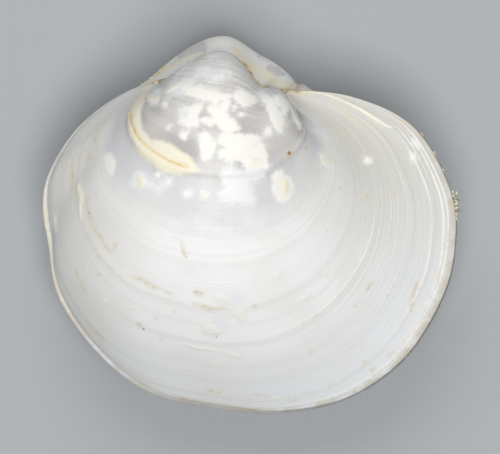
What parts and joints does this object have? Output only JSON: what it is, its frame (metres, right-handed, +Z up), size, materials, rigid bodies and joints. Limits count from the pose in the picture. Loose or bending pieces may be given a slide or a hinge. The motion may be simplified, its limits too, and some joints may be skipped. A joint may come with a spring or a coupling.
{
  "type": "bivalve shell",
  "caption": "Small rounded white lucine clam shell with both valves closed, its beaks curled over the hinge, lying on its left valve.",
  "frame": {"origin": "middle of the small flat under the left valve, on which the shell rests", "axes": "+X to the front of the shell along its hinge, +Z up, out of the right valve's side, and +Y to the hinge side, which is held 10.5 degrees up"},
  "size_m": [0.0101, 0.0091, 0.0065],
  "materials": {
    "right_shell": "satin",
    "left_shell": "satin",
    "ligament": "satin"
  },
  "bodies": {
    "root": {"right_valve": "right_shell", "left_valve": "left_shell", "ligament": "ligament"}
  },
  "joints": []
}
